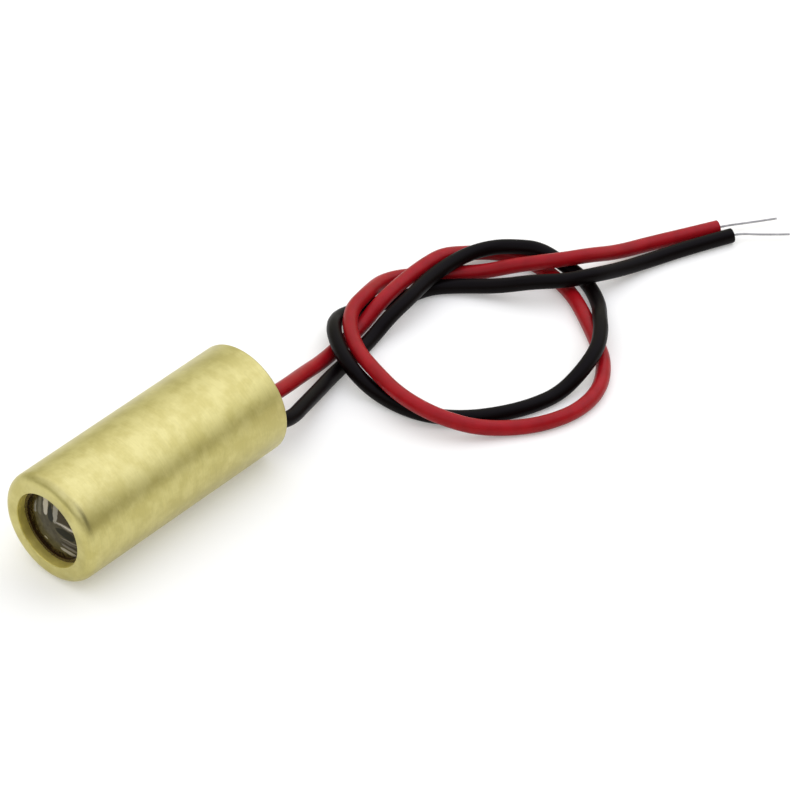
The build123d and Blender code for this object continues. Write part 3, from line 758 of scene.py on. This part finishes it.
# Board: solder mask over copper traces on a woven laminate
def boardMaterial():
    material, tree, shader, place = newMaterial("maskedBoard", boardLook)
    traces = addNode(tree, "ShaderNodeTexBrick")
    traces.inputs["Scale"].default_value = 1 / mm
    traces.inputs["Mortar Size"].default_value = boardLook["traceWidth"]
    traces.inputs["Brick Width"].default_value = boardLook["laneLength"]
    traces.inputs["Row Height"].default_value = boardLook["laneWidth"]
    for label, tone in (("Color1", boardLook["colour"]), ("Mortar", boardLook["trace"]),
                        ("Color2", shade(boardLook["colour"], boardLook["darker"]))):
        traces.inputs[label].default_value = fullColour(tone)
    tree.links.new(place, traces.inputs["Vector"])
    grain = placeGroup(tree, mouldedGrain, place, Grain=boardLook["grain"], Swell=boardLook["swell"])
    weave = rampNode(tree, grain.outputs["Swell"], boardLook["weave"])
    masked = mixColour(tree, 1.0, traces.outputs["Color"], weave, "MULTIPLY")
    tree.links.new(masked, shader.inputs["Base Color"])
    addBump(tree, shader, traces.outputs["Fac"], boardLook["bump"], boardLook["traceHeight"])
    return material


# Polished optical glass with a trace of dust
def clearGlass():
    material, tree, shader, place = newMaterial("clearGlass", clearLook)
    shader.inputs["Transmission Weight"].default_value = 1.0
    shader.inputs["IOR"].default_value = clearLook["ior"]
    grain = placeGroup(tree, mouldedGrain, place, Grain=clearLook["grain"], Swell=clearLook["swell"])
    tree.links.new(rampNode(tree, grain.outputs["Grain"], clearLook["dust"]), shader.inputs["Roughness"])
    return material


for name, (members, look) in turnedNodes.items():
    metal = turnedMetal(name, look)
    for node in members:
        dress(node, metal)
for name, (members, look) in mouldedNodes.items():
    moulded = mouldedSurface(name, look)
    for node in members:
        dress(node, moulded)
for node, settings in chips.items():
    dress(node, cappedChip(node, settings))
dress("driver_board", boardMaterial())
glass = clearGlass()
for node in ("collimating_lens", "diode_window"):
    dress(node, glass)
print("stage: inner pieces")

# Camera: a long lens from the photograph's direction, aimed to put the barrel's middle where it is there
cameraSet = {
    "azimuth": 41.549,
    "elevation": 38.531,
    "distance": 325.4 * mm,
    "pixelFocus": 4423.6,  # focal length in pixels of the photograph
    "frame": 800,  # the photograph's side in pixels
    "targetPixel": (147.0, 462.8),  # where the photograph shows the middle of the barrel's axis
    "sensor": 36.0,
    "clipStart": 10 * mm,
    "clipEnd": 10,
}


def makeCamera():
    turned = radians(cameraSet["azimuth"])
    rise = radians(cameraSet["elevation"])
    back = Vector((sin(turned) * cos(rise), -cos(turned) * cos(rise), sin(rise)))
    right = Vector((cos(turned), sin(turned), 0))
    up = back.cross(right)
    perPixel = cameraSet["distance"] / cameraSet["pixelFocus"]
    half = cameraSet["frame"] / 2
    acrossTarget = (cameraSet["targetPixel"][0] - half) * perPixel
    upTarget = (half - cameraSet["targetPixel"][1]) * perPixel
    target = Vector((0, 0, axisHeight))
    data = bpy.data.cameras.new("camera")
    data.sensor_width = cameraSet["sensor"]
    data.lens = cameraSet["pixelFocus"] / cameraSet["frame"] * cameraSet["sensor"]
    data.clip_start = cameraSet["clipStart"]
    data.clip_end = cameraSet["clipEnd"]
    camera = bpy.data.objects.new("camera", data)
    bpy.context.scene.collection.objects.link(camera)
    camera.matrix_world = Matrix((right, up, back)).transposed().to_4x4()
    camera.location = target + back * cameraSet["distance"] - right * acrossTarget - up * upTarget
    bpy.context.scene.camera = camera


makeCamera()

# Floor and light. The room is a soft tent: bright overhead, dimmer low on the right and in front.
# Each ramp's stops give the height, Z, of a direction and the room's tone there
studio = {
    "floorSide": 3.0,
    "floorColour": (0.79, 0.785, 0.69),
    "floorRoughness": 0.9,
    "floorSpecular": 0.1,
    "floorLift": 0.24,  # added for rays that see the floor, so that it is white and keeps its shadow
    "overRight": [(0.0, (0.54, 0.52, 0.39)), (0.10, (0.38, 0.36, 0.24)), (0.20, (0.42, 0.40, 0.28)),
                  (0.32, (1.02, 1.01, 0.90)), (0.44, (1.55, 1.56, 1.64)), (0.70, (1.72, 1.73, 2.05)),
                  (1.0, (1.72, 1.74, 2.10))],
    "overLeft": [(0.0, (0.74, 0.73, 0.54)), (0.20, (0.76, 0.75, 0.58)), (0.45, (1.03, 1.02, 0.92)),
                 (0.65, (1.36, 1.36, 1.42)), (1.0, (1.70, 1.71, 2.02))],
    "leftShare": (-1.6, 0.1),  # times the direction's X, and added: how much of the left's ramp shows
    "frontDimming": [(-0.30, 0.72), (0.35, 1.0)],  # by the direction's Y: dimmer in front of the barrel
    "cardDirection": (0.85, 0.02, 0.52),  # a dark card on the right, which the front rounding reflects
    "cardStrength": 0.88,
    "cardEdge": (0.87, 0.97),  # cosines of the angles from its middle at which it starts and is full
}


# A colour ramp's tones stop at one, so the room's are scaled down, and the background's strength
# scales them up again
roomScale = 2.1


def scaled(stops):
    return [(place, tuple(part / roomScale for part in tone)) for place, tone in stops]


def makeStudio():
    bpy.ops.mesh.primitive_plane_add(size=studio["floorSide"], location=(0, 0, 0))
    floor = bpy.context.object
    floor.name = "floor"
    look = {"colour": studio["floorColour"], "roughness": studio["floorRoughness"],
            "specular": studio["floorSpecular"]}
    paper, tree, shader, place = newMaterial("floorPaper", look)
    shader.inputs["Emission Color"].default_value = (1, 1, 1, 1)
    rays = addNode(tree, "ShaderNodeLightPath")
    mirrored = mathNode(tree, "MAXIMUM", rays.outputs["Is Glossy Ray"], rays.outputs["Is Transmission Ray"])
    seen = mathNode(tree, "MAXIMUM", rays.outputs["Is Camera Ray"], mirrored)
    lift = mathNode(tree, "MULTIPLY", seen, studio["floorLift"])
    tree.links.new(lift, shader.inputs["Emission Strength"])
    floor.data.materials.append(paper)

    world = bpy.data.worlds.new("room")
    bpy.context.scene.world = world
    world.use_nodes = True
    tree = world.node_tree
    direction = addNode(tree, "ShaderNodeTexCoord").outputs["Generated"]
    split = addNode(tree, "ShaderNodeSeparateXYZ")
    tree.links.new(direction, split.inputs[0])
    overRight = rampNode(tree, split.outputs["Z"], scaled(studio["overRight"]))
    overLeft = rampNode(tree, split.outputs["Z"], scaled(studio["overLeft"]))
    leftness = mathNode(tree, "MULTIPLY_ADD", split.outputs["X"], *studio["leftShare"], clamp=True)
    room = mixColour(tree, leftness, overRight, overLeft)
    facing = addNode(tree, "ShaderNodeVectorMath", operation="DOT_PRODUCT")
    tree.links.new(direction, facing.inputs[0])
    facing.inputs[1].default_value = Vector(studio["cardDirection"]).normalized()
    cardTones = (1.0, 1 - studio["cardStrength"])
    card = rampNode(tree, facing.outputs["Value"], list(zip(studio["cardEdge"], cardTones)), smooth=True)
    (dimUntil, dimmed), (plainFrom, plain) = studio["frontDimming"]
    dimming = addNode(tree, "ShaderNodeMapRange")
    for label, value in (("From Min", dimUntil), ("From Max", plainFrom),
                         ("To Min", dimmed), ("To Max", plain)):
        dimming.inputs[label].default_value = value
    tree.links.new(split.outputs["Y"], dimming.inputs["Value"])
    room = mixColour(tree, 1.0, room, card, "MULTIPLY")
    room = mixColour(tree, 1.0, room, dimming.outputs[0], "MULTIPLY")
    tree.links.new(room, tree.nodes["Background"].inputs["Color"])
    tree.nodes["Background"].inputs["Strength"].default_value = roomScale


makeStudio()
bpy.context.scene.view_settings.view_transform = "Standard"
print("stage: studio")
